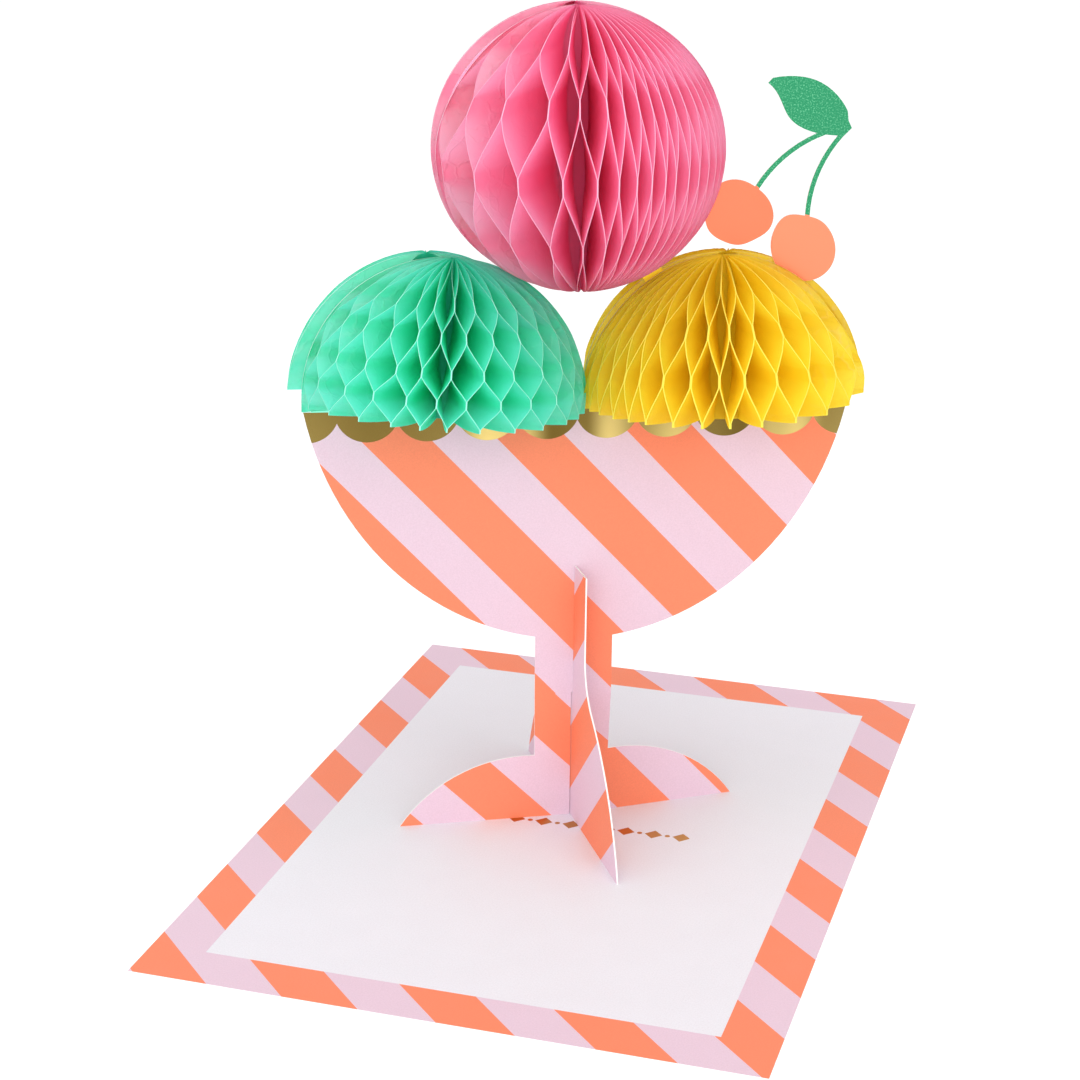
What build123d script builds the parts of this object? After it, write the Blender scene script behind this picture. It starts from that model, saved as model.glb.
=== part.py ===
from build123d import *
import math
import os

os.makedirs("parts", exist_ok=True)

# Base card: one flat sheet, long side along Y, its underside at zero height
base_width = 148.0
base_depth = 210.0
base_thickness = 0.4

# Where the sundae stands on the base, and how its pieces are turned about the upright axis
stand_x = -1.0
stand_y = 4.6
bowl_turn_angle = 22.6
foot_turn_angle = 31.6
foot_bend_angle = 4.0
cross_turn_angle = -57.7

# Sundae card: heights are above the base card's upper face
card_thickness = 0.4
bowl_bottom_height = 48.9
bowl_depth = 60.7
bowl_half_width = 68.5
bowl_half_height = 77.4
stem_half_width = 9.8
foot_reach = 44.7
foot_height = 17.3
foot_crown_share = (0.58, 0.86)

# Crosspiece: an upright wing on each side of the stem, narrow above and wide on the base
cross_height = 68.6
cross_half_width = 10.2
cross_reach = 41.0
cross_shoulder_height = 38.5
cross_crown_share = (0.78, 0.49)
cross_shoulder_round = 16.0

# Interlocking slots, one up from the foot and one down from the crosspiece's top
slot_floor_height = 34.2
slot_play = 0.3

# Honeycomb tissue, common to all scoops
tissue_thickness = 0.25
spine_radius = 1.6
row_latitude_angle = 21.0

# Round upper scoop, its spine upright on the card
ball_radius = 34.3
ball_half_height = 33.65
ball_rise = 63.5
ball_side_offset = -0.35
ball_lean_angle = 1.3
ball_back_offset = -1.0
ball_back_rise = 0.9
ball_card_inset = 1.0
ball_pitch = 15.7
ball_glue_height = 4.0
ball_glue_offset = 13.8
ball_lift_share = 0.05
ball_fan_share = (0, 0.155, 0.272, 0.38, 0.461, 0.52, 0.563, 0.61, 0.66, 0.715, 0.775, 0.845, 0.92, 1)

# The two lower scoops, half domes standing on the rim, their backings joined to the ball's by tabs
scoop_tab_width = 5.0
dome_half_height = 35.1
dome_skirt = 2.9
dome_card_inset = 2.3
dome_lift_share = 0.115
mint_radius = 34.0
mint_side_offset = -33.3
mint_back_offset = -36.4
mint_back_rise = 0.9
mint_pitch = 8.5
mint_glue_height = 2.2
mint_fan_share = (0, 0.15, 0.27, 0.358, 0.423, 0.486, 0.556, 0.63, 0.704, 0.77, 0.84, 0.92, 1)
yellow_radius = 34.7
yellow_side_offset = 35.7
yellow_back_offset = 35.8
yellow_back_rise = 0.5
yellow_pitch = 12.0
yellow_glue_height = 3.0
yellow_fan_share = (0, 0.09, 0.16, 0.22, 0.278, 0.344, 0.405, 0.462, 0.53, 0.609, 0.703, 0.84, 1)

# Cherry sprig, cut in one with the sundae card
near_cherry_radius = 8.2
near_cherry_angle = -21.7
near_cherry_share = (0.976, 0.887, 0.86, 0.95, 1.05, 1.06, 1.04, 1.06, 0.98, 0.965, 0.93, 1.01)
far_cherry_radius = 8.0
far_cherry_angle = 62.9
far_cherry_share = (0.99, 0.955, 0.968, 0.99, 1.14, 1.07, 0.993, 0.96, 0.98, 1.01, 1.06, 1.05)
cherry_gap = 0.35
cherry_tab_width = 7.0
cherry_stem_width = 1.15
cherry_stem_root_share = 0.78
far_stem_length = 29.2
far_stem_angle = 73.0
far_stem_bow = 2.3
far_stem_start_angle = 84.0
near_stem_bow = 1.9
near_stem_start_angle = 57.0
leaf_length = 20.7
leaf_width = 14.2
leaf_near_stem_share = (0.69, 0.06)
leaf_far_stem_share = (0.91, 0.06)
leaf_tip_share = (0, 0.886)
leaf_back_share = ((0.053, 0.971), (0.309, 1), (0.594, 0.907), (0.797, 0.7), (0.942, 0.414))
leaf_heel_share = ((0.957, 0.257), (1, 0.129), (0.913, 0))
leaf_belly_share = ((0.662, 0.029), (0.464, 0.107), (0.261, 0.314), (0.164, 0.579))

rim_height = bowl_bottom_height + bowl_depth
rim_half_width = bowl_half_width * math.sqrt(1 - (1 - bowl_depth / bowl_half_height) ** 2)
ball_centre_height = rim_height + ball_rise
dome_equator_height = rim_height + dome_skirt
slot_half_width = card_thickness / 2 + slot_play


def upright(turn):
    """A vertical drawing plane at the stand's axis, with its own X to the right and Y up."""
    angle = math.radians(turn)
    across = Vector(math.cos(angle), math.sin(angle), 0)
    front = Vector(math.sin(angle), -math.cos(angle), 0)
    return Plane(origin=(stand_x, stand_y, base_thickness), x_dir=across, z_dir=front)


def card(profile, turn):
    """A flat profile made into card of its real thickness, half to each side of its plane."""
    return extrude(upright(turn) * profile, card_thickness / 2, both=True)


def box_profile(left, right, low, high):
    return Pos((left + right) / 2, (low + high) / 2) * Rectangle(right - left, high - low)


def strip(start, end, width):
    """A straight strip of card along the line between two points."""
    span = end - start
    turned = Rot(0, 0, math.degrees(math.atan2(span.Y, span.X)))
    return Pos(*((start + end) / 2)) * turned * Rectangle(span.length, width)


def polar(radius, degrees):
    return Vector(radius * math.cos(math.radians(degrees)), radius * math.sin(math.radians(degrees)))


def bowl_profile():
    """The bowl is part of an ellipse cut off at the rim, with the upper stem below it."""
    ellipse = Pos(0, bowl_bottom_height + bowl_half_height) * Ellipse(bowl_half_width, bowl_half_height)
    below_rim = box_profile(-bowl_half_width, bowl_half_width, bowl_bottom_height, rim_height)
    stem_top = bowl_bottom_height + bowl_depth / 2
    stem = box_profile(-stem_half_width, stem_half_width, slot_floor_height, stem_top)
    return (ellipse & below_rim) + stem


def dome_backing(disc_centre, radius):
    """The card behind a lower scoop: a half disc with a short skirt down to the rim, no wider than the bowl."""
    disc = Circle(radius) & box_profile(-radius, radius, 0, radius)
    left = max(disc_centre.X - radius, -rim_half_width)
    right = min(disc_centre.X + radius, rim_half_width)
    return Pos(*disc_centre) * disc + box_profile(left, right, rim_height, dome_equator_height)


def cherry(disc_centre, disc_radius, radius, angle, outline_share):
    """A cherry beside a backing disc, with the tab that joins it to the disc.

    outline_share holds how far out the cherry reaches in even steps around it, from its right side up.
    """
    centre = disc_centre + polar(disc_radius + cherry_gap + radius, angle)
    step = 360 / len(outline_share)
    edge = [centre + polar(radius * share, step * i) for i, share in enumerate(outline_share)]
    return centre, make_face(Spline(*edge, periodic=True)) + strip(disc_centre, centre, cherry_tab_width)


def leaf_point(corner, share):
    return corner + Vector(leaf_length * share[0], leaf_width * share[1])


def leaf_profile(corner):
    tip = leaf_point(corner, leaf_tip_share)
    back = [leaf_point(corner, share) for share in leaf_back_share]
    heel = [leaf_point(corner, share) for share in leaf_heel_share]
    belly = [leaf_point(corner, share) for share in leaf_belly_share]
    edges = [Line(tip, back[0]), Spline(*back), Polyline(back[-1], *heel), Spline(heel[-1], *belly, tip)]
    return make_face(edges)


def sprig_profile(ball_disc, dome_disc, dome_card_radius):
    """Two cherries on bowed stems that meet under one leaf."""
    ball_card_radius = ball_radius - ball_card_inset
    near, near_face = cherry(ball_disc, ball_card_radius, near_cherry_radius, near_cherry_angle,
                             near_cherry_share)
    far, far_face = cherry(dome_disc, dome_card_radius, far_cherry_radius, far_cherry_angle,
                           far_cherry_share)
    stem_top = far + polar(far_stem_length, far_stem_angle)
    corner = stem_top - Vector(leaf_length * leaf_far_stem_share[0], leaf_width * leaf_far_stem_share[1])
    far_start = far + polar(far_cherry_radius * cherry_stem_root_share, far_stem_start_angle)
    near_start = near + polar(near_cherry_radius * cherry_stem_root_share, near_stem_start_angle)
    far_stem = SagittaArc(far_start, stem_top, far_stem_bow)
    near_stem = SagittaArc(near_start, leaf_point(corner, leaf_near_stem_share), near_stem_bow)
    stems = trace(far_stem, cherry_stem_width) + trace(near_stem, cherry_stem_width)
    return near_face + far_face + stems + leaf_profile(corner)


def foot_profile(side):
    """One half of the foot below the stem, from the slot out to its pointed toe."""
    crown = (foot_reach * foot_crown_share[0], foot_height * foot_crown_share[1])
    toe = (foot_reach, 0)
    shoulder = (stem_half_width, foot_height)
    arc = ThreePointArc(toe, crown, shoulder)
    rest = Polyline(shoulder, (slot_half_width, foot_height), (slot_half_width, 0), toe)
    face = make_face([arc, rest])
    return face if side > 0 else mirror(face, Plane.YZ)


def leg(side):
    """A foot half and the strip that twists it round to the stem above the slot."""
    turn = foot_turn_angle + side * foot_bend_angle
    middle = side * (slot_half_width + stem_half_width) / 2
    strip = Rectangle(stem_half_width - slot_half_width, card_thickness)
    sections = []
    for height, angle in ((foot_height, turn), (slot_floor_height, bowl_turn_angle)):
        floor = Pos(stand_x, stand_y, base_thickness + height) * Rot(0, 0, angle)
        sections.append(floor * Pos(middle, 0) * strip)
    return loft(sections, ruled=True) + card(foot_profile(side), turn)


def sundae_card():
    ball_disc = Vector(ball_side_offset, ball_centre_height)
    ball_backing = Ellipse(ball_radius - ball_card_inset, ball_half_height - ball_card_inset)
    profile = bowl_profile() + Pos(*ball_disc) * Rot(0, 0, ball_lean_angle) * ball_backing
    for side_offset, radius in ((mint_side_offset, mint_radius), (yellow_side_offset, yellow_radius)):
        dome_disc = Vector(side_offset, dome_equator_height)
        dome_card_radius = radius - dome_card_inset
        profile += dome_backing(dome_disc, dome_card_radius) + strip(ball_disc, dome_disc, scoop_tab_width)
    profile += sprig_profile(ball_disc, dome_disc, dome_card_radius)
    return card(profile, bowl_turn_angle) + leg(-1) + leg(1)


def cross_profile():
    """Both wings of the crosspiece, with the slot cut down from its top edge."""
    crown = (cross_reach * cross_crown_share[0], cross_shoulder_height * cross_crown_share[1])
    shoulder = (cross_half_width, cross_shoulder_height)
    arc = ThreePointArc((cross_reach, 0), crown, shoulder)
    rest = Polyline(shoulder, (cross_half_width, cross_height), (0, cross_height), (0, 0), (cross_reach, 0))
    wing = make_face([arc, rest])
    corner = wing.vertices().sort_by_distance(Vector(*shoulder))[0]
    wing = fillet(corner, cross_shoulder_round)
    slot = box_profile(-slot_half_width, slot_half_width, slot_floor_height, cross_height)
    return wing + mirror(wing, Plane.YZ) - slot


def glue_rows(low, high, middle, half_height, pitch, glue_height, glue_offset):
    """Heights of a sheet's rows, each with its place in the glue pattern: a whole number on a line.

    Rows between two lines are spread evenly by latitude, as seen from the scoop's middle height.
    """
    glue = glue_height / 2
    rest = pitch - glue_height
    level = math.ceil((low - glue - glue_offset) / pitch)
    start = low
    rows = []
    while start < high:
        line = level * pitch + glue_offset
        end = max(min(line - glue, high), low)
        first, last = [math.asin((height - middle) / half_height) for height in (start, end)]
        steps = math.ceil((last - first) / math.radians(row_latitude_angle))
        for step in range(1 if rows else 0, steps):
            height = middle + half_height * math.sin(first + (last - first) * step / steps)
            rows.append((height, level - (line - glue - height) / rest))
        rows.append((end, level - max(line - glue - end, 0) / rest))
        start = min(line + glue, high)
        if end < high:
            rows.append((start, level))
        level += 1
    return rows


def honeycomb(radius, outline, anchor, lift, rows, fan_share):
    """Half of a honeycomb scoop: sheets fanned from one spine, glued in turn to either neighbour.

    The spine stands on the origin along Z, the flat back lies in Y = 0 and the sheets face -Y.
    outline gives a sheet's width at each height, and lift how far open sheets shorten towards anchor.
    """
    columns = [math.pi * share for share in fan_share]
    sheets = 2 * len(columns)
    width = tissue_thickness / radius
    joins = {}
    for j, column in enumerate(columns):
        joins[2 * j + 1] = column
        if j:
            joins[2 * j] = (columns[j - 1] + column) / 2
    raises = {boundary: lift * math.sqrt(max(math.sin(join), 0)) for boundary, join in joins.items()}
    joins[1] = width
    joins[sheets - 1] = math.pi - width
    raises[1] = 0
    raises[sheets - 1] = 0

    def sides(sheet, level):
        """Low and high angle of a sheet's outer edge where it is glued at a level."""
        if sheet == 0:
            return 0, width, 0
        if sheet == sheets - 1:
            return math.pi - width, math.pi, 0
        if (sheet + level) % 2:
            return joins[sheet], joins[sheet] + width, raises[sheet]
        return joins[sheet + 1] - width, joins[sheet + 1], raises[sheet + 1]

    def stands_out(height):
        return outline(height) > spine_radius + tissue_thickness

    def outer(sheet, row):
        height, place = row
        below = math.floor(place)
        part = place - below
        first, second = sides(sheet, below), sides(sheet, below + 1)
        start, end, raised = [a + (b - a) * part for a, b in zip(first, second)]
        if not stands_out(height):
            return [inner(sheet, row), inner(sheet + 1, row)]
        reach = outline(height)
        z = height + raised * (reach / radius) ** 2 * (anchor - height)
        return [(-reach * math.cos(angle), -reach * math.sin(angle), z) for angle in (start, end)]

    def inner(boundary, row):
        angle = math.pi * boundary / sheets
        return (-spine_radius * math.cos(angle), -spine_radius * math.sin(angle), row[0])

    faces = []

    def patch(*corners):
        loop = [corner for i, corner in enumerate(corners) if corner != corners[i - 1]]
        for i in range(1, len(loop) - 1):
            faces.append(Face(Wire.make_polygon([loop[0], loop[i], loop[i + 1]])))

    def glued(boundary, row):
        """Whether the sheets on both sides of a boundary meet at a row."""
        return outer(boundary - 1, row)[1] == outer(boundary, row)[0]

    def side_face(boundary, lower, upper, low_corner, high_corner):
        """A sheet's side along a boundary, left out where its neighbour is glued to it.

        Both sides of every sheet are split along the same diagonal, so a sheet keeps its thickness.
        """
        foot, head = inner(boundary, lower), inner(boundary, upper)
        if not glued(boundary, upper):
            patch(foot, high_corner, head)
        if not (glued(boundary, lower) and glued(boundary, upper)):
            patch(foot, low_corner, high_corner)

    for sheet in range(sheets):
        for lower, upper in zip(rows, rows[1:]):
            low_pair, high_pair = outer(sheet, lower), outer(sheet, upper)
            if sheet > 0:
                side_face(sheet, lower, upper, low_pair[0], high_pair[0])
            if sheet < sheets - 1:
                side_face(sheet + 1, lower, upper, low_pair[1], high_pair[1])
            patch(low_pair[0], low_pair[1], high_pair[1], high_pair[0])
        for row in (rows[0], rows[-1]):
            if stands_out(row[0]):
                pair = outer(sheet, row)
                patch(inner(sheet, row), pair[0], pair[1], inner(sheet + 1, row))
    for row in (rows[0], rows[-1]):
        spine_end = [inner(boundary, row) for boundary in range(sheets + 1)]
        faces.append(Face(Wire.make_polygon(spine_end)))
    left = [outer(0, row)[0] for row in rows]
    right = [outer(sheets - 1, row)[1] for row in rows]
    back = left + [inner(0, rows[-1]), inner(sheets, rows[-1])] + right[::-1]
    back += [inner(sheets, rows[0]), inner(0, rows[0])]
    back = [corner for i, corner in enumerate(back) if math.dist(corner, back[i - 1]) > 0]
    faces.append(Face(Wire.make_polygon(back)))
    return Solid(Shell(faces))


def ball_half():
    def outline(height):
        return ball_radius * math.sqrt(max(1 - (height / ball_half_height) ** 2, 0))

    top = ball_half_height * math.sqrt(1 - (spine_radius / ball_radius) ** 2)
    rows = glue_rows(-top, top, 0, ball_half_height, ball_pitch, ball_glue_height, ball_glue_offset)
    return honeycomb(ball_radius, outline, 0, ball_lift_share, rows, ball_fan_share)


def dome_half(radius, skirt, pitch, glue_height, fan_share):
    """Half of a dome of a given radius, that stands on a straight skirt of a given height."""
    def outline(height):
        rise = max(height - skirt, 0) / dome_half_height
        return radius * math.sqrt(max(1 - rise ** 2, 0))

    top = skirt + dome_half_height * math.sqrt(1 - (spine_radius / radius) ** 2)
    rows = glue_rows(0, top, skirt, dome_half_height, pitch, glue_height, 0)
    return honeycomb(radius, outline, skirt + dome_half_height, dome_lift_share, rows, fan_share)


def on_card(half, side_offset, height, lean, face):
    """Stand a scoop half against the card's front (1) or back (-1) face."""
    seat = upright(bowl_turn_angle).location * Pos(side_offset, height, face * card_thickness / 2)
    seat *= Rot(0, 0, lean) * Rot(-90, 0, 0)
    return seat * half if face > 0 else seat * Rot(0, 0, 180) * half


def write(node, solid):
    export_step(solid, f"parts/{node}.step")


write("base_card", Pos(0, 0, base_thickness / 2) * Box(base_width, base_depth, base_thickness))
write("sundae_card", sundae_card())
write("cross_foot", card(cross_profile(), cross_turn_angle))

# The front halves of the lower scoops have the skirt, the back halves stand a little higher without it
ball = ball_half()
ball_back_height = ball_centre_height + ball_back_rise
write("pink_ball_front", on_card(ball, ball_side_offset, ball_centre_height, ball_lean_angle, 1))
write("pink_ball_back", on_card(ball, ball_back_offset, ball_back_height, ball_lean_angle, -1))
mint = (mint_pitch, mint_glue_height, mint_fan_share)
mint_back_height = dome_equator_height + mint_back_rise
mint_front = dome_half(mint_radius, dome_skirt, *mint)
write("mint_scoop_front", on_card(mint_front, mint_side_offset, rim_height, 0, 1))
write("mint_scoop_back", on_card(dome_half(mint_radius, 0, *mint), mint_back_offset, mint_back_height, 0, -1))
yellow = (yellow_pitch, yellow_glue_height, yellow_fan_share)
yellow_back_height = dome_equator_height + yellow_back_rise
yellow_front = dome_half(yellow_radius, dome_skirt, *yellow)
yellow_back = dome_half(yellow_radius, 0, *yellow)
write("yellow_scoop_front", on_card(yellow_front, yellow_side_offset, rim_height, 0, 1))
write("yellow_scoop_back", on_card(yellow_back, yellow_back_offset, yellow_back_height, 0, -1))
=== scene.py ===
import math

import bpy
import numpy as np
from mathutils import Matrix, Vector

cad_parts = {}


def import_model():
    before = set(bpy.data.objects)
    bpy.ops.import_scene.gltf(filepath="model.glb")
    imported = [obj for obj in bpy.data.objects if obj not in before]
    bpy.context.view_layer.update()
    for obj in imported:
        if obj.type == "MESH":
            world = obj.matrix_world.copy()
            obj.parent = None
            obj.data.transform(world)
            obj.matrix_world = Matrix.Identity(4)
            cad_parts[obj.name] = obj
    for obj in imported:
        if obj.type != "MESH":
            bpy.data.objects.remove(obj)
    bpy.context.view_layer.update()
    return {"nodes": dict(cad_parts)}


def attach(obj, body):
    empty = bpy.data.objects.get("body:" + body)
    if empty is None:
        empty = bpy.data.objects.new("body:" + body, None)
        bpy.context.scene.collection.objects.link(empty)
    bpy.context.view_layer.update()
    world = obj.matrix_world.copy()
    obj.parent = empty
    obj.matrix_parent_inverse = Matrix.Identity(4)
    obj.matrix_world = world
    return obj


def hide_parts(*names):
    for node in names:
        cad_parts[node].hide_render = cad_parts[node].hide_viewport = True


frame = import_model()

MM = 0.001

# Where the sundae stands on the base card, and how its pieces are turned, as in the model's source
STAND = Vector((-1.0, 4.6, 0.4))
BOWL_TURN = math.radians(22.6)
CROSS_TURN = math.radians(-57.7)
RIM_HEIGHT = 109.6
BALL_RADIUS = 34.3
BALL_HALF_HEIGHT = 33.65
DOME_HEIGHT = 35.1

# The base card's print, in millimetres: half its sides, its border, its stripes and the row of ornaments
HALF_WIDTH = 74.0
HALF_DEPTH = 105.0
BORDER_WIDTH = 13.31
BORDER_STRIPE = 18.16
BORDER_START = -159.6
ORNAMENT_START = (-20.7, -2.8)
ORNAMENT_ENDS = (-2.0, 52.5)
ORNAMENT_LEAN = 0.049
ORNAMENT_STEP = 3.6
LOZENGE_HALF = 2.3
DOT_RADIUS_SQUARED = 0.45

# The foil's scallops: how far apart they stand, and the circles that cut them
SCALLOP_PITCH = 14.7
SCALLOP_RADIUS = 7.96
SCALLOP_DROP = 0.16

# Print colours, as screen values; the foil's two colours are a painted dark reflection and a painted highlight, and
# the leaf's light colour holds painted glitter glints
CORAL = (254, 141, 104)
LILAC = (235, 206, 222)
PANEL = (240, 238, 245)
CARD_CORE = (252, 251, 250)
FOIL_PAINTED_DARK_REFLECTION = (100, 80, 31)
FOIL_PAINTED_HIGHLIGHT = (230, 205, 126)
NEAR_CHERRY = (252, 128, 95)
FAR_CHERRY = (254, 141, 107)
LEAF_DARK = (52, 143, 100)
LEAF_GLITTER_GLINT = (118, 204, 158)
PINK_BACKING = (255, 160, 192)
MINT_BACKING = (130, 228, 198)
YELLOW_BACKING = (255, 218, 60)
ORNAMENT_GOLD = (196, 142, 72)


def paint(colour):
    """A screen colour, 0 to 255, as the linear colour that a shader takes."""
    shares = [c / 255 for c in colour]
    return [s / 12.92 if s <= 0.04045 else ((s + 0.055) / 1.055) ** 2.4 for s in shares] + [1.0]


# Shader building


class Tree:
    """Short ways to add nodes to one node tree. A term is a number, a vector or another node's socket."""

    def __init__(self, tree):
        self.tree = tree

    def add(self, kind, settings=(), **terms):
        made = self.tree.nodes.new(kind)
        for name, value in dict(settings).items():
            setattr(made, name, value)
        for name, term in terms.items():
            self.set(made.inputs[name.replace("_", " ")], term)
        return made

    def set(self, socket, term):
        if isinstance(term, bpy.types.NodeSocket):
            self.tree.links.new(term, socket)
        else:
            socket.default_value = term

    def math(self, operation, *terms, clamp=False):
        made = self.tree.nodes.new("ShaderNodeMath")
        made.operation = operation
        made.use_clamp = clamp
        for socket, term in zip(made.inputs, terms):
            self.set(socket, term)
        return made.outputs[0]

    def vector(self, operation, *terms):
        made = self.tree.nodes.new("ShaderNodeVectorMath")
        made.operation = operation
        for socket, term in zip(made.inputs, terms):
            self.set(socket, term)
        return made.outputs["Value" if operation in ("DOT_PRODUCT", "LENGTH", "DISTANCE") else "Vector"]

    def scale(self, vector, factor):
        made = self.tree.nodes.new("ShaderNodeVectorMath")
        made.operation = "SCALE"
        self.set(made.inputs[0], vector)
        self.set(made.inputs["Scale"], factor)
        return made.outputs["Vector"]

    def apart(self, vector):
        return self.add("ShaderNodeSeparateXYZ", Vector=vector).outputs

    def joined(self, x, y, z):
        return self.add("ShaderNodeCombineXYZ", X=x, Y=y, Z=z).outputs[0]

    def blend(self, share, first, second, kind="MIX"):
        made = self.tree.nodes.new("ShaderNodeMix")
        made.data_type = "RGBA"
        made.blend_type = kind
        self.set(made.inputs[0], share)
        self.set(made.inputs[6], first)
        self.set(made.inputs[7], second)
        return made.outputs[2]

    def between(self, value, low, high, start=0.0, end=1.0, smooth=True):
        """Start below low, end above high, and a soft step in between."""
        made = self.tree.nodes.new("ShaderNodeMapRange")
        made.interpolation_type = "SMOOTHSTEP" if smooth else "LINEAR"
        for socket, term in zip(made.inputs, (value, low, high, start, end)):
            self.set(socket, term)
        return made.outputs[0]

    def noise(self, vector, scale, detail=2.0, roughness=0.5, distortion=0.0):
        return self.add("ShaderNodeTexNoise", Vector=vector, Scale=scale, Detail=detail,
                        Roughness=roughness, Distortion=distortion).outputs[0]

    def group(self, made, **terms):
        placed = self.tree.nodes.new("ShaderNodeGroup")
        placed.node_tree = made
        for name, term in terms.items():
            self.set(placed.inputs[name.replace("_", " ")], term)
        return placed.outputs


def effect(name, takes, gives):
    """A new shared node group, with number inputs and their defaults, and its outputs by kind."""
    made = bpy.data.node_groups.new(name, "ShaderNodeTree")
    for label, value in takes.items():
        kind = "NodeSocketColor" if isinstance(value, (tuple, list)) else "NodeSocketFloat"
        made.interface.new_socket(label, in_out="INPUT", socket_type=kind).default_value = value
    for label, kind in gives.items():
        made.interface.new_socket(label, in_out="OUTPUT", socket_type="NodeSocket" + kind)
    tree = Tree(made)
    return made, tree, made.nodes.new("NodeGroupInput").outputs, made.nodes.new("NodeGroupOutput").inputs


def material(name):
    """A new material, with its tree and its shader."""
    made = bpy.data.materials.new(name)
    made.use_nodes = True
    shader = made.node_tree.nodes["Principled BSDF"]
    return made, Tree(made.node_tree), shader


def build_card_place():
    """Millimetres across, behind and above the stand, in a card's own plane, and whether a face is printed."""
    made, t, takes, gives = effect("card place", {"Turn": 0.0}, {
        "Across": "Float", "Behind": "Float", "Height": "Float", "Face": "Float"})
    spot = t.add("ShaderNodeTexCoord").outputs["Object"]
    spot = t.vector("SUBTRACT", t.scale(spot, 1 / MM), STAND)
    back = t.math("MULTIPLY", takes["Turn"], -1.0)
    turned = t.add("ShaderNodeVectorRotate", {"rotation_type": "Z_AXIS"}, Vector=spot, Angle=back)
    across, behind, height = t.apart(turned.outputs[0])
    normal = t.add("ShaderNodeNewGeometry").outputs["True Normal"]
    facing = t.add("ShaderNodeVectorRotate", {"rotation_type": "Z_AXIS"}, Vector=normal, Angle=back)
    square = t.math("ABSOLUTE", t.apart(facing.outputs[0])[1])
    for label, term in (("Across", across), ("Behind", behind), ("Height", height),
                        ("Face", t.math("GREATER_THAN", square, 0.6))):
        t.set(gives[label], term)
    return made


def build_stripes():
    """A mask of even stripes along one measure in millimetres."""
    made, t, takes, gives = effect("stripes", {"Place": 0.0, "Period": 1.0, "Start": 0.0, "Width": 0.5},
                                   {"Mask": "Float"})
    turns = t.math("DIVIDE", t.math("SUBTRACT", takes["Place"], takes["Start"]), takes["Period"])
    share = t.math("FRACT", turns)
    t.set(gives["Mask"], t.math("LESS_THAN", share, takes["Width"]))
    return made


def build_card_stock():
    """Fine tooth of coated card: a height for the bump and a tone that goes over the print."""
    made, t, takes, gives = effect("card stock", {"Print": (1, 1, 1, 1), "Tone": 0.05},
                                   {"Colour": "Color", "Height": "Float", "Roughness": "Float"})
    spot = t.add("ShaderNodeTexCoord").outputs["Object"]
    tooth = t.noise(spot, 2600.0, 3.0, 0.6)
    cloud = t.noise(spot, 90.0, 3.0, 0.55)
    mottle = t.math("ADD", t.math("MULTIPLY", tooth, 0.85), t.math("MULTIPLY", cloud, 0.15))
    light = t.between(mottle, 0.3, 0.7, 1.0, 0.0, smooth=False)
    shade = t.blend(1.0, takes["Print"], paint((232, 228, 228)), "MULTIPLY")
    t.set(gives["Colour"], t.blend(t.math("MULTIPLY", light, takes["Tone"]), takes["Print"], shade))
    t.set(gives["Height"], mottle)
    t.set(gives["Roughness"], t.between(cloud, 0.3, 0.7, 0.5, 0.62, smooth=False))
    return made


# How bright the foil band is painted along the rim, as painted highlights and painted dark reflections: places across
# the card in millimetres and shares
FOIL_PAINTED_REFLECTION = ((-68, 0.2), (-50, 0.1), (-31, 0.15), (-22, 0.9), (-13, 0.65), (-6, 0.04), (2, 0.1), (8, 0.75),
              (15, 0.3), (25, 0.7), (33, 0.12), (41, 0.04), (49, 0.6), (55, 0.8), (62, 0.25), (68, 0.3))
FOIL_HALF = 70.0


def build_foil():
    """Pressed gold foil: broad painted highlights and painted dark reflections, as a slightly bent sheet shows, dimmer
    towards the top of the band, and a fine grain.
    """
    made, t, takes, gives = effect("gold foil", {"Across": 0.0, "Height": 0.0},
                                   {"Colour": "Color", "Roughness": "Float"})
    # Painted highlights and painted dark reflections, set at places along the band
    ramp = t.add("ShaderNodeValToRGB", Fac=t.between(takes["Across"], -FOIL_HALF, FOIL_HALF, smooth=False))
    ramp.color_ramp.interpolation = "EASE"
    stops = ramp.color_ramp.elements
    for stop, (place, share) in zip(stops, (FOIL_PAINTED_REFLECTION[0], FOIL_PAINTED_REFLECTION[-1])):
        stop.position = (place + FOIL_HALF) / (2 * FOIL_HALF)
        stop.color = (share, share, share, 1)
    for place, share in FOIL_PAINTED_REFLECTION[1:-1]:
        stops.new((place + FOIL_HALF) / (2 * FOIL_HALF)).color = (share, share, share, 1)
    # The painted highlights grow dimmer towards the top of the band, and the grain stirs them a little
    reflection_fade = t.between(takes["Height"], RIM_HEIGHT - 9, RIM_HEIGHT, 1.05, 0.8, smooth=False)
    grain = t.noise(t.joined(takes["Across"], 0.0, takes["Height"]), 9.0, 3.0, 0.6)
    painted_reflection = t.math("ADD", t.math("MULTIPLY", ramp.outputs[0], reflection_fade),
                   t.math("MULTIPLY", t.math("SUBTRACT", grain, 0.5), 0.35))
    t.set(gives["Colour"], t.blend(t.between(painted_reflection, 0.0, 1.0, smooth=False), paint(FOIL_PAINTED_DARK_REFLECTION), paint(FOIL_PAINTED_HIGHLIGHT)))
    t.set(gives["Roughness"], t.between(grain, 0.3, 0.7, 0.28, 0.44, smooth=False))
    return made


card_place = build_card_place()
stripes = build_stripes()
card_stock = build_card_stock()
gold_foil = build_foil()


# Card materials


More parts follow.
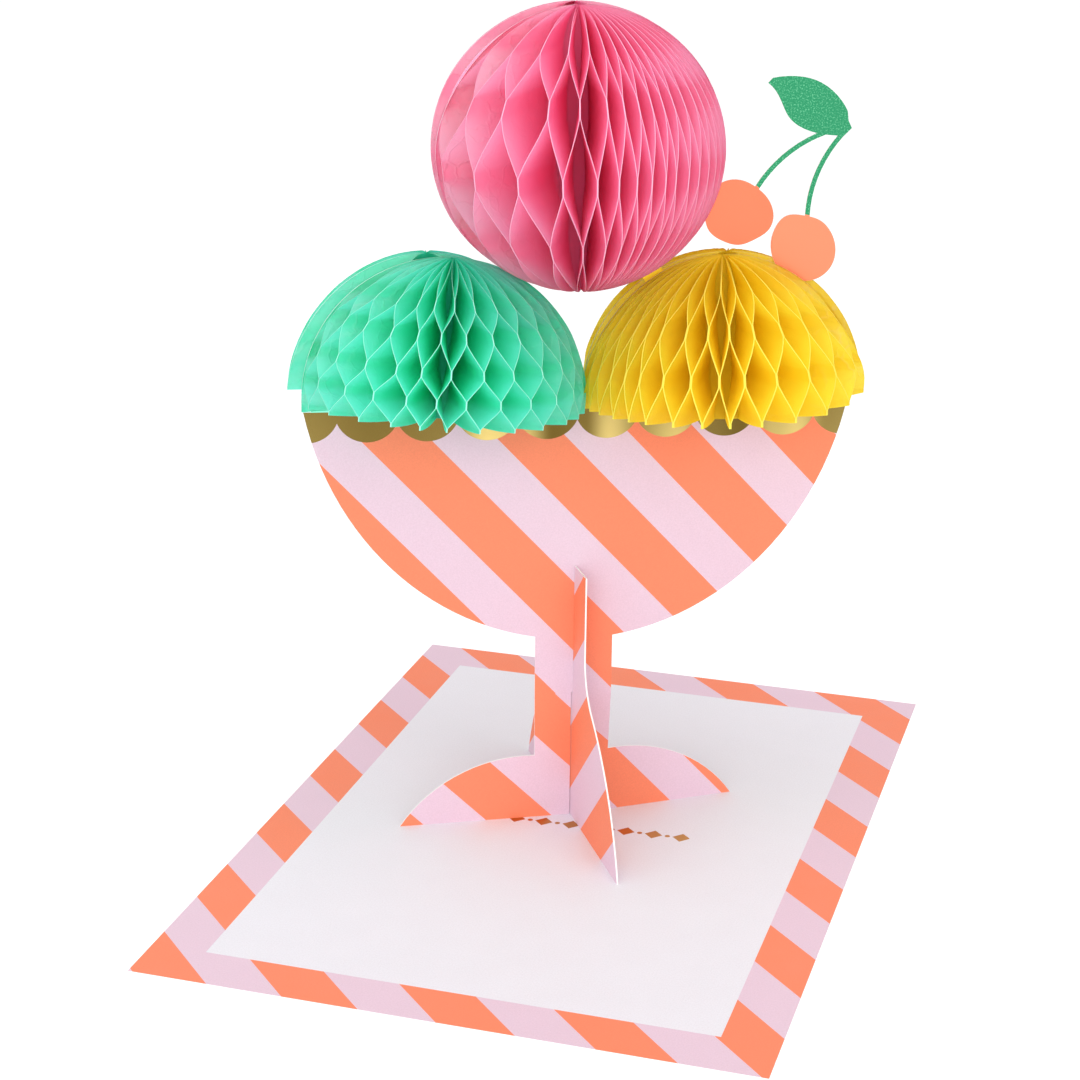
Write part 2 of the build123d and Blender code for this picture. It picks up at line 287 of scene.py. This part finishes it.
def finish_card(t, shader, colour, face, metal=None, foil_rough=None):
    """Lays the paper's tooth over the print, shows the white core on cut edges and sets the sheen."""
    stock = t.group(card_stock, Print=colour, Tone=0.5)
    shown = t.blend(face, paint(CARD_CORE), stock["Colour"])
    rough = stock["Roughness"]
    if metal is not None:
        metal = t.math("MULTIPLY", metal, face)
        shown = t.blend(metal, shown, colour)
        rough = t.math("ADD", t.math("MULTIPLY", rough, t.math("SUBTRACT", 1.0, metal)),
                       t.math("MULTIPLY", foil_rough, metal))
        t.set(shader.inputs["Metallic"], metal)
    t.set(shader.inputs["Base Color"], shown)
    t.set(shader.inputs["Roughness"], rough)
    bump = t.add("ShaderNodeBump", Strength=0.25, Distance=0.00004, Height=stock["Height"])
    t.set(shader.inputs["Normal"], bump.outputs[0])
    shader.inputs["Specular IOR Level"].default_value = 0.3


def base_material():
    """White panel in a border of diagonal stripes, with a row of small gold lozenges and dots."""
    made, t, shader = material("printed base card")
    spot = t.scale(t.add("ShaderNodeTexCoord").outputs["Object"], 1 / MM)
    x, y, _ = t.apart(spot)
    mask = t.group(stripes, Place=t.math("ADD", x, y), Period=2 * BORDER_STRIPE,
                   Start=BORDER_START + BORDER_STRIPE, Width=0.5)[0]
    border = t.blend(mask, paint(LILAC), paint(CORAL))
    in_x = t.math("LESS_THAN", t.math("ABSOLUTE", x), HALF_WIDTH - BORDER_WIDTH)
    in_y = t.math("LESS_THAN", t.math("ABSOLUTE", y), HALF_DEPTH - BORDER_WIDTH)
    colour = t.blend(t.math("MULTIPLY", in_x, in_y), border, paint(PANEL))
    along = t.math("SUBTRACT", x, ORNAMENT_START[0])
    aside = t.math("SUBTRACT", t.math("SUBTRACT", y, ORNAMENT_START[1]), t.math("MULTIPLY", along, ORNAMENT_LEAN))
    step = t.math("PINGPONG", along, ORNAMENT_STEP)
    lozenge = t.math("LESS_THAN", t.math("ADD", t.math("DIVIDE", step, LOZENGE_HALF),
                                         t.math("DIVIDE", t.math("ABSOLUTE", aside), LOZENGE_HALF)), 1.0)
    off = t.math("SUBTRACT", ORNAMENT_STEP, step)
    dot = t.math("LESS_THAN", t.math("ADD", t.math("MULTIPLY", off, off),
                                     t.math("MULTIPLY", aside, aside)), DOT_RADIUS_SQUARED)
    row = t.math("MULTIPLY", t.math("GREATER_THAN", along, ORNAMENT_ENDS[0]),
                 t.math("LESS_THAN", along, ORNAMENT_ENDS[1]))
    gold = t.math("MULTIPLY", t.math("MAXIMUM", lozenge, dot), row)
    colour = t.blend(gold, colour, paint(ORNAMENT_GOLD))
    up = t.apart(t.add("ShaderNodeNewGeometry").outputs["True Normal"])[2]
    finish_card(t, shader, colour, t.math("GREATER_THAN", up, 0.5), gold, 0.35)
    return made


# Where the sundae card's stripes change, coral first: heights plus a little over the distances across
STRIPE_EDGES = (-39.3, -23.2, -5.9, 12.9, 29.0, 45.2, 63.6, 80.8, 99.4, 116.4, 134.9, 151.9, 170.4, 188.0)
STRIPE_SLOPE = 1.065
STRIPE_LOW, STRIPE_HIGH = -60.0, 200.0

# Below this height the stripes keep a slope of one, and they bend a little outside the stem's half width
FOOT_TOP = 34.0
STEM_HALF = 9.8
TOE_BEND = 0.1

# The discs of card behind two of the scoops, and the cherries with their outlines in even steps from the right
BALL_DISC = ((-0.35, 173.1, 0.0), 33.6)
YELLOW_DISC = ((35.7, 112.5, 0.0), 32.7)
CHERRIES = (((38.53, 157.63, 0.0), 8.2, (0.976, 0.887, 0.86, 0.95, 1.05, 1.06, 1.04, 1.06, 0.98, 0.965, 0.93, 1.01)),
            ((54.26, 148.78, 0.0), 8.0, (0.99, 0.955, 0.968, 0.99, 1.14, 1.07, 0.993, 0.96, 0.98, 1.01, 1.06, 1.05)))

# The sprig lies above and to the right of these, and the stems end at the cherries at these heights
SPRIG_BOTTOM, SPRIG_LEFT = 138.0, 25.0
NEAR_STEM_END, FAR_STEM_END = 158.6, 153.0
STEMS_APART, CHERRIES_APART = 53.4, 46.6


def disc_mask(t, spot, centre, radius):
    return t.math("LESS_THAN", t.vector("DISTANCE", spot, centre), radius)


def cherry_mask(t, spot, centre, radius, outline):
    """A hand-cut round: its radius changes a little from one direction to the next."""
    away = t.vector("SUBTRACT", spot, centre)
    right, up, _ = t.apart(away)
    turn = t.math("FRACT", t.math("DIVIDE", t.math("ARCTAN2", up, right), 2 * math.pi))
    ramp = t.add("ShaderNodeValToRGB", Fac=turn)
    ramp.color_ramp.interpolation = "CARDINAL"
    stops = ramp.color_ramp.elements
    for stop in stops:
        stop.color = [outline[0] / 2] * 3 + [1]
    for i, share in enumerate(outline[1:], 1):
        stops.new(i / len(outline)).color = [share / 2] * 3 + [1]
    reach = t.math("ADD", t.math("MULTIPLY", ramp.outputs[0], 2 * radius), 0.3)
    return t.math("LESS_THAN", t.vector("LENGTH", away), reach)


def sundae_material():
    """Striped bowl, stem and foot, a scalloped foil band, tinted scoop backings, cherries and leaf."""
    made, t, shader = material("printed sundae card")
    at = t.group(card_place, Turn=BOWL_TURN)
    across, height = at["Across"], at["Height"]
    spot = t.joined(across, height, 0.0)
    reach = t.math("SQRT", t.math("ADD", t.math("POWER", across, 2.0), t.math("POWER", at["Behind"], 2.0)))
    outward = t.math("MULTIPLY", reach, t.math("SIGN", across))
    low = t.math("LESS_THAN", height, FOOT_TOP)
    toe = t.math("MULTIPLY", t.math("MAXIMUM", t.math("SUBTRACT", outward, STEM_HALF), 0.0), TOE_BEND)
    across_foot = t.math("MULTIPLY", t.math("ADD", outward, toe), low)
    across_bowl = t.math("MULTIPLY", t.math("MULTIPLY", across, STRIPE_SLOPE), t.math("SUBTRACT", 1.0, low))
    diagonal = t.math("ADD", t.math("ADD", across_foot, across_bowl), height)
    ramp = t.add("ShaderNodeValToRGB", Fac=t.between(diagonal, STRIPE_LOW, STRIPE_HIGH, smooth=False))
    ramp.color_ramp.interpolation = "CONSTANT"
    stops = ramp.color_ramp.elements
    span = STRIPE_HIGH - STRIPE_LOW
    stops[0].color = paint(CORAL)
    stops[1].position = (STRIPE_EDGES[0] - STRIPE_LOW) / span
    stops[1].color = paint(LILAC)
    for i, edge in enumerate(STRIPE_EDGES[1:]):
        stops.new((edge - STRIPE_LOW) / span).color = paint(LILAC if i % 2 else CORAL)
    colour = ramp.outputs[0]

    # The foil band, with its painted highlights and painted dark reflections
    foil = t.group(gold_foil, Across=across, Height=height)
    lobe = t.math("MODULO", t.math("ADD", across, 10 * SCALLOP_PITCH), SCALLOP_PITCH)
    lobe = t.math("SUBTRACT", lobe, SCALLOP_PITCH / 2)
    drop = t.math("SUBTRACT", RIM_HEIGHT + SCALLOP_DROP, height)
    inside = t.math("ADD", t.math("POWER", lobe, 2.0), t.math("POWER", t.math("MAXIMUM", drop, 0.0), 2.0))
    band = t.math("LESS_THAN", inside, SCALLOP_RADIUS ** 2)
    colour = t.blend(band, colour, foil["Colour"])

    above = t.math("GREATER_THAN", height, RIM_HEIGHT)
    side = t.math("GREATER_THAN", across, 0.4)
    colour = t.blend(above, colour, t.blend(side, paint(MINT_BACKING), paint(YELLOW_BACKING)))
    ball = disc_mask(t, spot, *BALL_DISC)
    colour = t.blend(ball, colour, paint(PINK_BACKING))
    sprig = t.math("MULTIPLY", t.math("GREATER_THAN", height, SPRIG_BOTTOM),
                   t.math("GREATER_THAN", across, SPRIG_LEFT))
    covered = t.math("MAXIMUM", ball, disc_mask(t, spot, *YELLOW_DISC))
    sprig = t.math("MULTIPLY", sprig, t.math("SUBTRACT", 1.0, covered))
    # Light specks on the leaf: glitter flakes, with their glints painted in as a lighter green
    glitter_glint = t.noise(spot, 2.6, 2.0, 0.75)
    green = t.blend(t.between(glitter_glint, 0.5, 0.72), paint(LEAF_DARK), paint(LEAF_GLITTER_GLINT))
    fruit = t.math("MAXIMUM", *[cherry_mask(t, spot, *cherry) for cherry in CHERRIES])
    below_near = t.math("MULTIPLY", t.math("LESS_THAN", height, NEAR_STEM_END),
                        t.math("LESS_THAN", across, STEMS_APART))
    below_stems = t.math("MAXIMUM", t.math("LESS_THAN", height, FAR_STEM_END), below_near)
    fruit = t.math("MAXIMUM", fruit, below_stems)
    flesh = t.blend(t.math("GREATER_THAN", across, CHERRIES_APART), paint(NEAR_CHERRY), paint(FAR_CHERRY))
    colour = t.blend(sprig, colour, t.blend(fruit, green, flesh))
    finish_card(t, shader, colour, at["Face"], band, foil["Roughness"])
    return made


# The crosspiece's stripes: a coral and a lilac one together, where a coral one starts, and coral's share
CROSS_STRIPES = 34.9
CROSS_START = 42.4
CROSS_CORAL = 0.512


def cross_material():
    """Striped crosspiece, its stripes rising towards the stem from the front."""
    made, t, shader = material("printed crosspiece")
    at = t.group(card_place, Turn=CROSS_TURN)
    diagonal = t.math("SUBTRACT", at["Height"], at["Across"])
    mask = t.group(stripes, Place=diagonal, Period=CROSS_STRIPES, Start=CROSS_START, Width=CROSS_CORAL)[0]
    finish_card(t, shader, t.blend(mask, paint(LILAC), paint(CORAL)), at["Face"])
    return made


for node, made in (("base_card", base_material()), ("sundae_card", sundae_material()),
                   ("cross_foot", cross_material())):
    shape = frame["nodes"][node]
    for slot in shape.material_slots:
        slot.material = made


# Honeycomb tissue


def build_tissue():
    """Tissue paper, from its place on a sheet: paler at the rim, a deeper colour inside as painted shade, wrinkled at
    the flanks, with painted shade and the doubled tissue along the glue bands there and painted glints on their
    creases.
    """
    made, t, takes, gives = effect("tissue", {"Paper": (1, 1, 1, 1), "Deep": (1, 1, 1, 1), "Pale": (1, 1, 1, 1)},
                                   {"Colour": "Color", "Height": "Float"})
    share, band, flank = t.apart(t.add("ShaderNodeAttribute", {"attribute_name": "sheet_place"}).outputs["Vector"])
    spot = t.scale(t.add("ShaderNodeTexCoord").outputs["Object"], 1 / MM)
    cloud = t.noise(spot, 0.14, 3.0, 0.55)
    # Painted shade: the colour deepens inside the cells, towards the spine
    soft = t.math("ADD", share, t.math("MULTIPLY", t.math("SUBTRACT", cloud, 0.5), 0.25))
    cell_shade = t.between(soft, 0.35, 1.0, 1.0, 0.0)
    colour = t.blend(cell_shade, takes["Paper"], takes["Deep"])
    colour = t.blend(t.math("MULTIPLY", flank, 0.85), colour, takes["Pale"])
    # Darker along the glue bands at the flanks: the doubled tissue there, and painted shade of the glue lines
    double_layer_and_shade = t.math("MULTIPLY", t.math("MULTIPLY", band, t.between(cloud, 0.3, 0.6)),
                     t.math("MULTIPLY", flank, 0.45))
    colour = t.blend(double_layer_and_shade, colour, takes["Deep"])
    bent = t.scale(t.add("ShaderNodeTexNoise", Vector=spot, Scale=0.25).outputs["Color"], 5.0)
    crease = t.add("ShaderNodeTexVoronoi", {"feature": "DISTANCE_TO_EDGE"}, Scale=0.16,
                   Vector=t.vector("ADD", spot, bent))
    ridge = t.between(crease.outputs["Distance"], 0.0, 0.1, 1.0, 0.0)
    # Painted glints: near-white on the creases at the flanks
    crinkle_glint = t.math("MULTIPLY", t.math("MULTIPLY", ridge, flank), t.between(cloud, 0.4, 0.65, 0.0, 0.18))
    t.set(gives["Colour"], t.blend(crinkle_glint, colour, paint((255, 250, 250))))
    fibre = t.noise(spot, 5.0, 3.0, 0.6)
    fold = t.math("MULTIPLY", ridge, t.between(flank, 0.0, 1.0, 0.05, 0.5, smooth=False))
    t.set(gives["Height"], t.math("ADD", fold, t.math("MULTIPLY", fibre, 0.08)))
    return made


tissue = build_tissue()

# How much of the light that meets the tissue goes through it
SHEER = 0.6


def tissue_material(name, paper, deep, pale, through):
    """Thin coloured paper that lets part of the light through, in a deeper colour. Its deep colour is the painted
    shade inside the cells.
    """
    made, t, shader = material(name)
    look = t.group(tissue, Paper=paint(paper), Deep=paint(deep), Pale=paint(pale))
    t.set(shader.inputs["Base Color"], look["Colour"])
    shader.inputs["Roughness"].default_value = 0.75
    shader.inputs["Specular IOR Level"].default_value = 0.2
    bump = t.add("ShaderNodeBump", Strength=0.5, Distance=0.0006, Height=look["Height"])
    t.set(shader.inputs["Normal"], bump.outputs[0])
    glow = t.add("ShaderNodeBsdfTranslucent", Color=paint(through))
    both = made.node_tree.nodes.new("ShaderNodeMixShader")
    t.set(both.inputs[0], SHEER)
    t.set(both.inputs[1], shader.outputs[0])
    t.set(both.inputs[2], glow.outputs[0])
    t.set(made.node_tree.nodes["Material Output"].inputs["Surface"], both.outputs[0])
    return made


def edge_material(name, colour):
    """The cut edge of a stack of tissue, paler than its faces."""
    made, t, shader = material(name)
    spot = t.add("ShaderNodeTexCoord").outputs["Object"]
    fray = t.noise(spot, 900.0, 2.0, 0.6)
    dull = [c * 0.88 for c in paint(colour)[:3]] + [1.0]
    t.set(shader.inputs["Base Color"], t.blend(fray, paint(colour), dull))
    shader.inputs["Roughness"].default_value = 0.85
    shader.inputs["Specular IOR Level"].default_value = 0.1
    return made


# The spine's radius, the width of the pale outline at a half's two ends, and the steps along a sheet
SPINE = 0.7
OUTLINE_WIDTH = 0.5
RADIAL_STEPS = 7

# How far, in degrees, a glue line is off its even place, and how many levels of lines are drawn by chance
HAND_SHAKE = 0.35
GLUE_LEVELS = 12

# A sheet's wrinkles, in millimetres: in the middle of the half, how much more at its flanks, and how fast the
# two waves that make them turn along the height, in radians
WRINKLE = 0.14
FLANK_WRINKLE = 0.35
LONG_WAVE = 0.33
SHORT_WAVE = 0.71

# Heights, in millimetres, up to which a hem rises and the free flaps at the lower edge look pale
HEM_REACH = 14
FLAP_REACH = 5


def tissue_rows(lines, glue_height, low, middle, half_height):
    """Heights of a sheet's rows, each with its place in the glue pattern: a whole number on a glue line.

    lines gives the height of each glue line by its number. The rows stand closer towards the poles.
    """
    ends, places = [], []
    for number in sorted(lines):
        ends += [lines[number] - glue_height / 2, lines[number] + glue_height / 2]
        places += [number, number]
    high = middle + half_height * 0.9993
    heights = [end for end in ends if low < end < high]
    for latitude in range(-84 if low < 0 else 0, 88, 4):
        height = middle + half_height * math.sin(math.radians(latitude))
        if min(abs(height - end) for end in ends) > 0.5 and height > low:
            heights.append(height)
    return [(height, float(np.interp(height, ends, places))) for height in [low] + sorted(heights) + [high]]


def eased(share):
    """A sheet's way from one glue line to the next, a little gentler near the lines."""
    return share - 0.12 * math.sin(2 * math.pi * share) / (2 * math.pi)


def honeycomb(radius, outline, rows, columns, lift, anchor, tilt, droop, hem, spread, pale, bound, edge, seed):
    """Half a scoop with its spine on Z and its sheets facing -Y, in millimetres.

    The cells are closed where the sheets lie bound together, deep inside, at the share bound of the way out.
    Gives the points, each point's place on its sheet, the faces and the number of each face's material.
    tilt leans the spine and the sheets near it. droop lowers the glue lines, hem raises the lower edge,
    spread widens the scoop and pale is how pale its layers are, each at its left and right flank. edge is
    the width of a sheet's pale rim.
    """
    sheets = 2 * len(columns)
    joins = {}
    for j, column in enumerate(columns):
        joins[2 * j + 1] = column
        if j:
            joins[2 * j] = (columns[j - 1] + column) / 2
    half = edge / 2 / radius
    chance = np.random.default_rng(seed)
    shake = chance.normal(0, math.radians(HAND_SHAKE), (sheets + 2, GLUE_LEVELS))
    waves = chance.uniform(0, 2 * math.pi, (sheets, 2))
    top = rows[-1][0]

    def join_at(sheet, level):
        if sheet == 0:
            return half, 0
        if sheet == sheets - 1:
            return math.pi - half, 0
        boundary, way = (sheet, half) if (sheet + level) % 2 else (sheet + 1, -half)
        raised = 0 if boundary in (1, sheets - 1) else lift * math.sqrt(math.sin(joins[boundary]))
        place = joins[boundary] + way + shake[boundary][level]
        return min(max(place, 3 * half), math.pi - 3 * half), raised

    def settled(x, y, z):
        """A point after the spine's lean, which dies away towards the outline of the half's flat back."""
        out = math.hypot(x, y)
        upright = math.sqrt(max(-y / out, 0)) if out > 1e-6 else 1
        lean = tilt * (1 - (1 - upright) * out / radius)
        return x * math.cos(lean) - z * math.sin(lean), y, z * math.cos(lean) + x * math.sin(lean)

    points, places, faces, marks = [], [], [], []
    for sheet in range(sheets):
        inner_angle = math.pi * (sheet + 0.5) / sheets
        end_sheet = sheet in (0, sheets - 1)
        rim = OUTLINE_WIDTH / radius if end_sheet else half
        grid = []
        for height, place in rows:
            below = math.floor(place)
            part = eased(place - below)
            (start, start_raise), (end, end_raise) = join_at(sheet, below), join_at(sheet, below + 1)
            angle = start + (end - start) * part
            raised = start_raise + (end_raise - start_raise) * part
            reach = max(outline(height), 0.9)
            spine = min(SPINE, reach * 0.3)
            z = height + raised * (reach / radius) ** 2 * (anchor - height)
            hand = 0 if angle < math.pi / 2 else 1
            flatness = 1 - math.sin(angle)
            z -= droop[hand] * flatness ** 0.7 * math.sin(math.pi * min(max(height / top, 0), 1))
            z += hem[hand] * flatness * max(1 - height / HEM_REACH, 0)
            stretch = spread[hand] * abs(math.cos(angle))
            flank = pale[hand] * min(max((flatness - 0.12) / 0.5, 0), 1)
            flap = 0.8 * max(1 - height / FLAP_REACH, 0) if rows[0][0] >= 0 else 0
            near_line = abs(place - round(place))
            band = max(1 - near_line / 0.3, 0)
            line, spots = [], []
            for k in range(RADIAL_STEPS + 1):
                share = bound + (1 - bound) * k / RADIAL_STEPS
                x0, y0 = -spine * math.cos(inner_angle), -spine * math.sin(inner_angle)
                x1, y1 = -(reach + stretch) * math.cos(angle), -reach * math.sin(angle)
                across = math.sin(math.pi * share) * (WRINKLE + FLANK_WRINKLE * flatness ** 3)
                wave = math.sin(height * LONG_WAVE + waves[sheet][0]) + 0.6 * math.sin(
                    height * SHORT_WAVE + share * 5 + waves[sheet][1])
                push = across * wave * math.sin(math.pi * (place - below))
                line.append(settled(x0 + (x1 - x0) * share + math.sin(angle) * push,
                                    min(y0 + (y1 - y0) * share - math.cos(angle) * push, -0.02),
                                    height + (z - height) * share ** 2))
                open_share = share * (0.6 + 0.4 * reach / radius)
                spots.append((open_share, band, max(flank, flap * share ** 2)))
            low_side, high_side = (0, 2 * rim) if sheet == 0 else (-2 * rim, 0) if end_sheet else (-rim, rim)
            for side in (low_side, high_side):
                line.append(settled(-(reach + stretch) * math.cos(angle + side),
                                    min(-reach * math.sin(angle + side), -0.01), z))
                spots.append((1.0, 0.0, 0.0))
            grid.append((line, spots))
        start = len(points)
        stride = RADIAL_STEPS + 3
        for line, spots in grid:
            points += line
            places += spots
        for i in range(len(grid) - 1):
            a, b = start + i * stride, start + (i + 1) * stride
            for k in range(RADIAL_STEPS):
                faces.append((a + k, a + k + 1, b + k + 1, b + k))
                marks.append(0)
            faces.append((a + stride - 2, a + stride - 1, b + stride - 1, b + stride - 2))
            marks.append(2 if end_sheet else 1)
            if sheet < sheets - 1:
                beyond = len(grid) * stride
                faces.append((a, b, b + beyond, a + beyond))
                marks.append(0)
    return points, places, faces, marks


def stand_half(name, node, shape, side_offset, height, lean, face, materials):
    """Stands half a scoop on the card's front (1) or back (-1) face, in place of its plain solid."""
    points, places, faces, marks = shape
    seat = (Matrix.Translation(STAND) @ Matrix.Rotation(BOWL_TURN, 4, "Z")
            @ Matrix.Translation((side_offset, -face * 0.2, height))
            @ Matrix.Rotation(-lean, 4, "Y"))
    if face < 0:
        seat = seat @ Matrix.Rotation(math.pi, 4, "Z")
    mesh = bpy.data.meshes.new(name)
    mesh.from_pydata([(seat @ Vector(p)) * MM for p in points], [], faces)
    for one in materials:
        mesh.materials.append(one)
    mesh.polygons.foreach_set("material_index", marks)
    mesh.polygons.foreach_set("use_smooth", [True] * len(faces))
    marked = mesh.attributes.new("sheet_place", "FLOAT_VECTOR", "POINT")
    marked.data.foreach_set("vector", np.array(places).ravel())
    mesh.update()
    piece = bpy.data.objects.new(name, mesh)
    bpy.context.collection.objects.link(piece)
    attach(piece, "root")
    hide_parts(node)


def ball_outline(height):
    return BALL_RADIUS * math.sqrt(max(1 - (height / BALL_HALF_HEIGHT) ** 2, 0))


def dome_outline(radius, skirt, fullness):
    """A dome on a straight skirt. Fullness is how square its shoulders are, and 2 makes an ellipse."""
    return lambda height: radius * math.sqrt(max(1 - (max(height - skirt, 0) / DOME_HEIGHT) ** fullness, 0))


# Where the glue columns stand round each scoop, in degrees from its left edge
PINK_COLUMNS = (0, 28, 49.3, 69.8, 84.1, 94.5, 102.5, 108.5, 114, 120, 126.1, 132.5, 139.5, 145.5, 151.7, 158,
                164.4, 171.2, 180)
MINT_COLUMNS = (0, 17, 34, 51, 65, 76.5, 88, 101.5, 115, 129.5, 143.7, 156, 167.5, 180)
YELLOW_COLUMNS = (0, 7, 15.5, 24.3, 33.3, 41.5, 49.8, 62, 73, 84, 95.8, 109.5, 125.5, 140, 160, 180)

# Heights of the glue lines by number, above the rim for the lower scoops and from the middle for the round one
PINK_LINES = {-3: -36.5, -2: -20.0, -1: -3.0, 0: 15.0, 1: 28.0, 2: 43.0}
MINT_LINES = {-1: -7.5, 0: 0.0, 1: 7.5, 2: 15.1, 3: 23.8, 4: 30.7, 5: 39.8}
YELLOW_LINES = {-1: -12.5, 0: 0.0, 1: 12.7, 2: 24.5, 3: 34.0, 4: 46.0}

pink = [tissue_material("pink tissue", (255, 170, 206), (255, 132, 178), (255, 226, 238), (255, 160, 200)),
        edge_material("pink tissue edge", (255, 188, 216)), edge_material("pink outline", (253, 228, 240))]
mint = [tissue_material("mint tissue", (120, 248, 226), (60, 236, 200), (178, 246, 232), (96, 246, 220)),
        edge_material("mint tissue edge", (168, 250, 230)), edge_material("mint outline", (214, 249, 241))]
yellow = [tissue_material("yellow tissue", (255, 235, 66), (255, 236, 52), (255, 240, 116), (255, 238, 60)),
          edge_material("yellow tissue edge", (255, 236, 92)), edge_material("yellow outline", (255, 243, 180))]


def dress(node, materials, radius, skirt, columns, lines, glue_height, side_offset, height, lean=0.0,
          tilt=0.0, droop=(0, 0), hem=(0, 0), spread=(0, 0), pale=(1, 1), low=0.0, fullness=2.0, bound=0.3, edge=0.17):
    """Makes one half scoop and stands it on the card. The round scoop has no skirt at all."""
    if skirt is None:
        outline, anchor, lift = ball_outline, 0, 0.05
        rows = tissue_rows(lines, glue_height, 0.02 - BALL_HALF_HEIGHT, 0, BALL_HALF_HEIGHT)
    else:
        outline, anchor, lift = dome_outline(radius, skirt, fullness), skirt + DOME_HEIGHT, 0.115
        rows = tissue_rows(lines, glue_height, low, skirt, DOME_HEIGHT)
    fan = [math.radians(c) for c in columns]
    shape = honeycomb(radius, outline, rows, fan, lift, anchor, math.radians(tilt), droop, hem, spread, pale,
                      bound, edge, len(node))
    stand_half(node + "_sheets", node, shape, side_offset, height, math.radians(lean),
               1 if node.endswith("front") else -1, materials)


dress("pink_ball_front", pink, BALL_RADIUS, None, PINK_COLUMNS, PINK_LINES, 4.0, -0.35, 173.1,
      lean=1.3, droop=(2.5, 0), pale=(1, 0.4), bound=0.34)
dress("pink_ball_back", pink, BALL_RADIUS, None, PINK_COLUMNS, PINK_LINES, 4.0, -1.4, 173.7, lean=1.3)
dress("mint_scoop_front", mint, 34.0, 2.9, MINT_COLUMNS, MINT_LINES, 2.2, -33.3, RIM_HEIGHT,
      tilt=-4.5, spread=(0, 1.0), pale=(1, 0.8), bound=0.22)
dress("mint_scoop_back", mint, 34.0, 0, MINT_COLUMNS, MINT_LINES, 2.2, -36.7, RIM_HEIGHT + 3.8,
      low=1.9, fullness=1.8)
dress("yellow_scoop_front", yellow, 34.7, 2.9, YELLOW_COLUMNS, YELLOW_LINES, 3.0, 35.7,
      RIM_HEIGHT, tilt=1.7, droop=(2.2, 2.2), hem=(0, 4.5), spread=(0.5, 0), pale=(0.15, 1), bound=0.4, edge=0.3)
dress("yellow_scoop_back", yellow, 34.7, 0, YELLOW_COLUMNS, YELLOW_LINES, 3.0, 35.8,
      RIM_HEIGHT + 3.4, edge=0.3)


# Floor, light and camera


def seen_directly(t):
    """1 for a ray that shows the room itself, in the picture or through a shiny or clear surface."""
    path = t.add("ShaderNodeLightPath").outputs
    mirrored = t.math("MAXIMUM", path["Is Glossy Ray"], path["Is Transmission Ray"])
    return t.math("MAXIMUM", path["Is Camera Ray"], mirrored)


def floor():
    mesh = bpy.data.meshes.new("floor")
    size = 6.0
    mesh.from_pydata([(-size, -size, 0), (size, -size, 0), (size, size, 0), (-size, size, 0)], [], [(0, 1, 2, 3)])
    made, t, shader = material("pale floor")
    shader.inputs["Base Color"].default_value = (0.86, 0.86, 0.86, 1)
    shader.inputs["Roughness"].default_value = 0.9
    shader.inputs["Specular IOR Level"].default_value = 0.0
    shader.inputs["Emission Color"].default_value = (1, 1, 1, 1)
    t.set(shader.inputs["Emission Strength"], t.math("MULTIPLY", seen_directly(t), 0.3))
    mesh.materials.append(made)
    piece = bpy.data.objects.new("floor", mesh)
    bpy.context.collection.objects.link(piece)


def world():
    made = bpy.data.worlds.new("soft room")
    bpy.context.scene.world = made
    made.use_nodes = True
    t = Tree(made.node_tree)
    back = made.node_tree.nodes["Background"]
    back.inputs["Color"].default_value = (1, 1, 1, 1)
    t.set(back.inputs["Strength"], t.between(seen_directly(t), 0.0, 1.0, 0.8, 1.0, smooth=False))


def lamp(name, place, target, size, power):
    data = bpy.data.lights.new(name, "AREA")
    data.shape = "DISK"
    data.size = size
    data.energy = power
    piece = bpy.data.objects.new(name, data)
    piece.location = place
    piece.rotation_mode = "QUATERNION"
    piece.rotation_quaternion = (Vector(target) - Vector(place)).to_track_quat("-Z", "Y")
    bpy.context.collection.objects.link(piece)


def camera():
    yaw, pitch, roll = -0.289274, 0.336250, 0.0114966
    ahead = Vector((math.sin(yaw) * math.cos(pitch), math.cos(yaw) * math.cos(pitch), -math.sin(pitch)))
    right = Vector((math.cos(yaw), -math.sin(yaw), 0))
    up = right.cross(ahead)
    across = right * math.cos(roll) + up * math.sin(roll)
    over = up * math.cos(roll) - right * math.sin(roll)
    data = bpy.data.cameras.new("camera")
    data.lens = 2397.466 / 1080 * 36
    data.sensor_width = 36
    data.clip_start = 0.01
    data.clip_end = 50
    piece = bpy.data.objects.new("camera", data)
    piece.matrix_world = (Matrix.Translation(Vector((151.702, -539.373, 273.032)) * MM)
                          @ Matrix((across, over, -ahead)).transposed().to_4x4())
    bpy.context.collection.objects.link(piece)
    bpy.context.scene.camera = piece


floor()
world()
lamp("front", (0.25, -1.7, 0.5), (0, 0, 0.12), 1.4, 10.5)
lamp("right", (1.4, -1.1, 1.2), (0, 0, 0.12), 1.0, 4.0)
lamp("left", (-1.3, -1.3, 1.2), (0, 0, 0.12), 1.0, 3.5)
lamp("top", (0.1, -0.3, 1.5), (0, 0, 0.0), 1.2, 3.4)
camera()
bpy.context.scene.view_settings.view_transform = "Standard"
